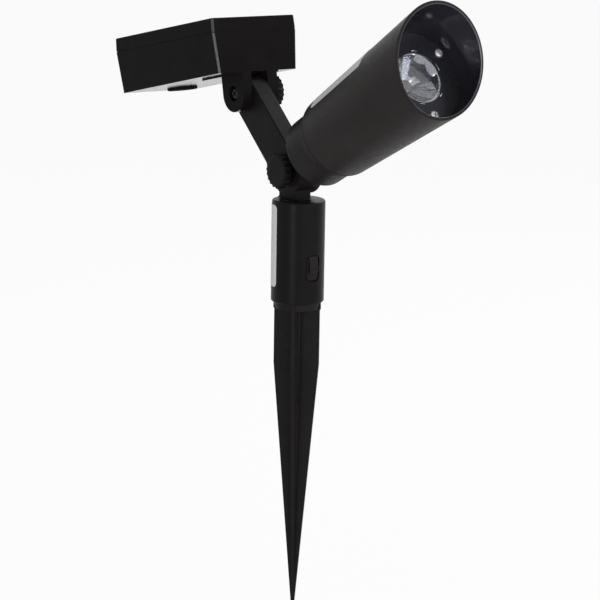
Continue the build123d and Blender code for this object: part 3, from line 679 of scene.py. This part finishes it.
hingeScrew("lampHingeScrew", "lamp_screw", "lamp", Matrix.Translation(place["lampHinge"]), 1)
hingeScrew("panelHingeScrew", "panel_screw", "panel", panelAxes, -1)
print("screws made")


def wrappedSticker(name, axes, facts, body, node):
    # rounded sticker on a cylinder or cone: columns of points from edge to edge
    columns = []
    span, corner, rows = facts["to"] - facts["from"], facts["corner"], facts["rows"]
    for step in range(facts["columns"] + 1):
        # columns crowd at the two ends, where the corners are
        share = (1 - math.cos(math.pi * step / facts["columns"])) / 2
        angle = math.radians(facts["from"] + span * share)
        reach = facts["lowRadius"] * math.radians(span) * min(share, 1 - share)
        inset = corner - math.sqrt(corner ** 2 - (corner - reach) ** 2) if reach < corner else 0
        column = []
        for lift, order in ((facts["glue"] + facts["thickness"], 1), (facts["glue"], -1)):
            heights = [facts["low"] + inset + (facts["high"] - facts["low"] - 2 * inset) * i / rows
                       for i in range(rows + 1)]
            for height in heights[::order]:
                radius = facts["lowRadius"] + facts["taper"] * (height - facts["low"]) + lift
                column.append((radius * math.cos(angle), radius * math.sin(angle), height))
        columns.append(column)
    mesh = joined(name, [(ringMesh(name, columns), axes)])
    addPiece(name, mesh, whitePaper, body, "label_paper", node)


stickerFacts = {"thickness": 0.14 * mm, "glue": 0.02 * mm, "corner": 2.4 * mm, "columns": 40, "rows": 12}
stemSticker = {**stickerFacts, "from": -139, "to": -89, "low": 13.0 * mm, "high": 58.8 * mm,
               "lowRadius": 14.8 * mm, "taper": 0}
lampSticker = {**stickerFacts, "from": 158.5, "to": 234.5, "low": 55.2 * mm, "high": 108.3 * mm,
               "lowRadius": outsideOfTube(55.2 * mm), "taper": tubeFacts["taper"]}
wrappedSticker("stemSticker", Matrix.Identity(4), stemSticker, "base", "stem_label")
wrappedSticker("lampSticker", lampAxes, lampSticker, "lamp", "lamp_label")
print("stickers made")

# reflector: bowl of flat mirror panels that flow into a round rim
bowlFacts = {
    "panels": 10,
    "turn": 24,                # degrees, where the first edge points
    "curve": 0.8,              # 1 is a cone, 0.5 a parabola
    "steps": 12,
    "rimFlatness": 0.35,       # how straight the sides are at the rim, 0 to 1
    "rimFade": 3.5,
    "throatFade": 6,
    "throat": 3.5 * mm,
    "throatHeight": 113.0 * mm,
    "mouth": 12.9 * mm,
    "mouthHeight": 123.6 * mm,
    "seat": 13.5 * mm,
    "rim": 13.8 * mm,
    "rimHeight": 124.9 * mm,
    "lip": 14.4 * mm,
    "lipHeight": 122.6 * mm,
    "wall": 1.0 * mm,
}


def bowlMesh(facts):
    points = facts["panels"] * 8

    def ring(radius, height, flatness):
        # round at flatness 0, with straight sides at 1
        ringPoints = []
        for i in range(points):
            angle = math.tau * i / points
            fold = (angle % (math.tau / facts["panels"])) - math.pi / facts["panels"]
            flat = math.cos(math.pi / facts["panels"]) / math.cos(fold)
            r = radius * (1 + flatness * (flat - 1))
            turned = angle + math.radians(facts["turn"])
            ringPoints.append((r * math.cos(turned), r * math.sin(turned), height))
        return ringPoints

    # up the outside, over the rim to the lens seat, then down the mirror
    lipLow = facts["lipHeight"] - facts["wall"]
    outline = ((facts["throat"] + facts["wall"], facts["throatHeight"]),
               (facts["lip"] - facts["wall"], lipLow), (facts["lip"], lipLow),
               (facts["lip"], facts["lipHeight"]), (facts["rim"], facts["lipHeight"]),
               (facts["rim"], facts["rimHeight"]), (facts["seat"], facts["rimHeight"]),
               (facts["seat"], facts["mouthHeight"]))
    rings = [ring(radius, height, 0) for radius, height in outline]
    for step in range(facts["steps"] + 1):
        share = 1 - step / facts["steps"]
        radius = facts["throat"] + (facts["mouth"] - facts["throat"]) * share ** facts["curve"]
        height = facts["throatHeight"] + (facts["mouthHeight"] - facts["throatHeight"]) * share
        flatness = min(1, facts["rimFlatness"] + facts["rimFade"] * (1 - share),
                       facts["throatFade"] * share)
        rings.append(ring(radius, height, flatness))
    return ringMesh("bowl", rings, loop=True, sharpAngle=14)


bowl = joined("mirrorBowl", [(bowlMesh(bowlFacts), lampAxes)])
addPiece("mirrorBowl", bowl, mirrorFilm, "lamp", "reflector_chrome", "reflector")

# light source: a low diffusing cap over the chip, which shows in the bowl's throat
lightCapFacts = {"radius": 3.2 * mm, "low": 110.9 * mm, "shoulder": 113.1 * mm, "top": 113.6 * mm,
                 "steps": 6}


def lightCapMesh(facts):
    rings = [circle(facts["radius"], facts["low"]), circle(facts["radius"], facts["shoulder"])]
    for step in range(1, facts["steps"] + 1):
        # the last ring closes half a step before the middle
        angle = math.radians(90 * step / (facts["steps"] + 0.5))
        rings.append(circle(facts["radius"] * math.cos(angle),
                            facts["shoulder"] + (facts["top"] - facts["shoulder"]) * math.sin(angle)))
    return ringMesh("cap", rings)


addPiece("lightCap", joined("lightCap", [(lightCapMesh(lightCapFacts), lampAxes)]), diffusingSilicone,
         "lamp", "led_package", "led")

# snap tabs round the bowl, standing on the face plate
tabFacts = {
    "count": 6,
    "first": 10,               # degrees
    "half": 8,
    "halfSteps": 4,
    "inner": 14.5 * mm,
    "outer": 15.0 * mm,
    "low": 124.5 * mm,
    "high": 125.3 * mm,
    "endHeight": 0.25,         # share of the height at the two ends
    "edge": 0.1 * mm,
}


def tabMesh(facts):
    columns = []
    for step in range(2 * facts["halfSteps"] + 1):
        across = step / facts["halfSteps"] - 1
        angle = math.radians(facts["half"] * across)
        # the ends are rounded off towards the plate
        rise = math.sqrt(max(0, 1 - across ** 2)) ** 0.5
        share = facts["endHeight"] + (1 - facts["endHeight"]) * rise
        top = facts["low"] + (facts["high"] - facts["low"]) * share
        corners = ((facts["inner"], facts["low"]), (facts["inner"], top - facts["edge"]),
                   (facts["inner"] + facts["edge"], top), (facts["outer"] - facts["edge"], top),
                   (facts["outer"], facts["low"]))
        columns.append([(-r * math.cos(angle), r * math.sin(angle), h) for r, h in corners])
    return ringMesh("tab", columns, sharpAngle=40)


tab = tabMesh(tabFacts)
tabAngles = [tabFacts["first"] + 360 * i / tabFacts["count"] for i in range(tabFacts["count"])]
tabPlaces = [lampAxes @ Matrix.Rotation(-math.radians(angle), 4, "Z") for angle in tabAngles]
addPiece("bowlTabs", joined("bowlTabs", [(tab, spot) for spot in tabPlaces]), mirrorFilm, "lamp",
         "reflector_chrome")
print("lamp face made")

# push button: a flat soft cap that stands out of the floor, over its flange and stem
buttonFacts = {
    "x": -82.0 * mm,           # along the panel, from its hinge screw
    "y": 6.4 * mm,
    "face": 8.4 * mm,
    "edge": 0.7 * mm,
    "edgeSteps": 5,
    "dish": 0.15 * mm,
    "radius": 9.0 * mm,
    "flange": 10.8 * mm,
    "flangeLow": 14.69 * mm,
    "flangeHigh": 15.89 * mm,
    "stem": 1.6 * mm,
    "stemHigh": 18.09 * mm,
}


def capButton(facts):
    inner = facts["radius"] - facts["edge"]
    # the face dips a little in its middle
    rings = [circle(0.5 * inner, facts["face"] + facts["dish"]), circle(inner, facts["face"])]
    for step in range(1, facts["edgeSteps"] + 1):
        angle = math.radians(90 * step / facts["edgeSteps"])
        rings.append(circle(inner + facts["edge"] * math.sin(angle),
                            facts["face"] + facts["edge"] * (1 - math.cos(angle))))
    rings += [circle(facts["radius"], facts["flangeLow"]), circle(facts["flange"], facts["flangeLow"]),
              circle(facts["flange"], facts["flangeHigh"]), circle(facts["stem"], facts["flangeHigh"]),
              circle(facts["stem"], facts["stemHigh"])]
    spot = panelAxes @ Matrix.Translation((facts["x"], facts["y"], 0))
    addPiece("capButton", joined("capButton", [(ringMesh("button", rings), spot)]), buttonElastomer,
             "mode_button", "button_plastic", "mode_button")


capButton(buttonFacts)

# seal between the panel's two shells, nearly flush with their skins
sealFacts = {"length": 107.6 * mm, "width": 56.9 * mm, "end": 10.4 * mm, "corner": 2.2 * mm,
             "leastCorner": 0.5 * mm, "cornerSteps": 8, "outer": 0.4 * mm, "inner": 1.7 * mm,
             "low": 33.8 * mm, "high": 34.3 * mm}


def sealRing(facts, inset, height):
    halfX, halfY = facts["length"] / 2 - inset, facts["width"] / 2 - inset
    corner = max(facts["corner"] - inset, facts["leastCorner"])
    middle = facts["end"] - facts["length"] / 2
    points = []
    for turn, (sx, sy) in enumerate(((1, 1), (-1, 1), (-1, -1), (1, -1))):
        for step in range(facts["cornerSteps"] + 1):
            angle = math.radians(90 * turn + 90 * step / facts["cornerSteps"])
            points.append((middle + sx * (halfX - corner) + corner * math.cos(angle),
                           sy * (halfY - corner) + corner * math.sin(angle), height))
    return points


sealEdges = (("outer", "low"), ("outer", "high"), ("inner", "high"), ("inner", "low"))
sealRings = [sealRing(sealFacts, sealFacts[edge], sealFacts[level]) for edge, level in sealEdges]
addPiece("flushSeal", joined("flushSeal", [(ringMesh("seal", sealRings, loop=True), panelAxes)]),
         gasketRubber, "panel", "gasket_rubber", "panel_gasket")
print("button and seal made")


def seenWhite(tree):
    # 1 where the camera looks straight, in a mirror or through glass: there the background is plain white
    path = addNode(tree, "ShaderNodeLightPath")
    glossy = addNode(tree, "ShaderNodeMath", {"operation": "MAXIMUM"},
                     {0: (path, "Is Camera Ray"), 1: (path, "Is Glossy Ray")})
    return addNode(tree, "ShaderNodeMath", {"operation": "MAXIMUM"},
                   {0: (glossy, 0), 1: (path, "Is Transmission Ray")})


floorFacts = {
    "size": 60.0,
    "dark": "#f4f4f3",
    "pale": "#f8f8f7",
    "tone": 400,               # millimetres of a patch
    "whiteShare": 0.94,        # the rest takes the shadow
}


def makeFloor(facts):
    # plain pale board: nearly white to the camera, still taking a soft shadow
    material, tree, where = startMaterial("Melamine white smooth")
    tone = addNode(tree, "ShaderNodeTexNoise", {"Scale": perMetre(facts["tone"]), "Detail": 3.0},
                   {"Vector": where})
    colour = addNode(tree, "ShaderNodeMix", {"data_type": "RGBA", **twoTones(facts)}, {0: (tone, "Fac")})
    board = addNode(tree, "ShaderNodeBsdfDiffuse", {}, {"Color": (colour, 2)})
    white = addNode(tree, "ShaderNodeEmission", {"Color": fromHex("#ffffff"), "Strength": 1.0})
    share = addNode(tree, "ShaderNodeMath", {"operation": "MULTIPLY", 1: facts["whiteShare"]},
                    {0: (seenWhite(tree), 0)})
    mix = addNode(tree, "ShaderNodeMixShader", {}, {0: (share, 0), 1: (board, 0), 2: (white, 0)})
    addNode(tree, "ShaderNodeOutputMaterial", {}, {"Surface": (mix, 0)})
    half = facts["size"] / 2
    corners = [(x * half, y * half, place["ground"]) for x, y in ((-1, -1), (1, -1), (1, 1), (-1, 1))]
    mesh = bpy.data.meshes.new("floor")
    mesh.from_pydata(corners, [], [(0, 1, 2, 3)])
    mesh.materials.append(material)
    floor = bpy.data.objects.new("floor", mesh)
    scene.collection.objects.link(floor)


# soft is the strength that lights the object; the camera sees white
worldFacts = {"colour": "#ffffff", "soft": 0.26}


def makeWorld(facts):
    world = bpy.data.worlds.new("studio")
    scene.world = world
    world.use_nodes = True
    tree = world.node_tree
    tree.nodes.clear()
    colour = fromHex(facts["colour"])
    soft = addNode(tree, "ShaderNodeBackground", {"Color": colour, "Strength": facts["soft"]})
    white = addNode(tree, "ShaderNodeBackground", {"Color": colour, "Strength": 1.0})
    mix = addNode(tree, "ShaderNodeMixShader", {}, {0: (seenWhite(tree), 0), 1: (soft, 0), 2: (white, 0)})
    addNode(tree, "ShaderNodeOutputWorld", {}, {"Surface": (mix, 0)})


# soft boxes, all aimed at the foot of the bracket: metres and watts
lightAim = Vector((0, 0, 0.05))
lightFacts = {
    "overhead": {"position": (-0.10, 0.90, 0.85), "size": (0.8, 0.8), "power": 7.5},
    "frontFill": {"position": (1.90, 0.10, 0.45), "size": (2.2, 1.0), "power": 19.0},
    "leftStrip": {"position": (0.60, -0.97, 0.00), "size": (0.20, 0.34), "power": 2.0},
}


def softBox(name, facts):
    data = bpy.data.lights.new(name, "AREA")
    data.shape = "RECTANGLE"
    data.size, data.size_y = facts["size"]
    data.energy = facts["power"]
    lamp = bpy.data.objects.new(name, data)
    scene.collection.objects.link(lamp)
    lamp.location = facts["position"]
    lamp.rotation_euler = (lightAim - Vector(facts["position"])).to_track_quat("-Z", "Y").to_euler()


makeFloor(floorFacts)
makeWorld(worldFacts)
for name, facts in lightFacts.items():
    softBox(name, facts)
scene.view_settings.view_transform = "Standard"
print("stage lit")
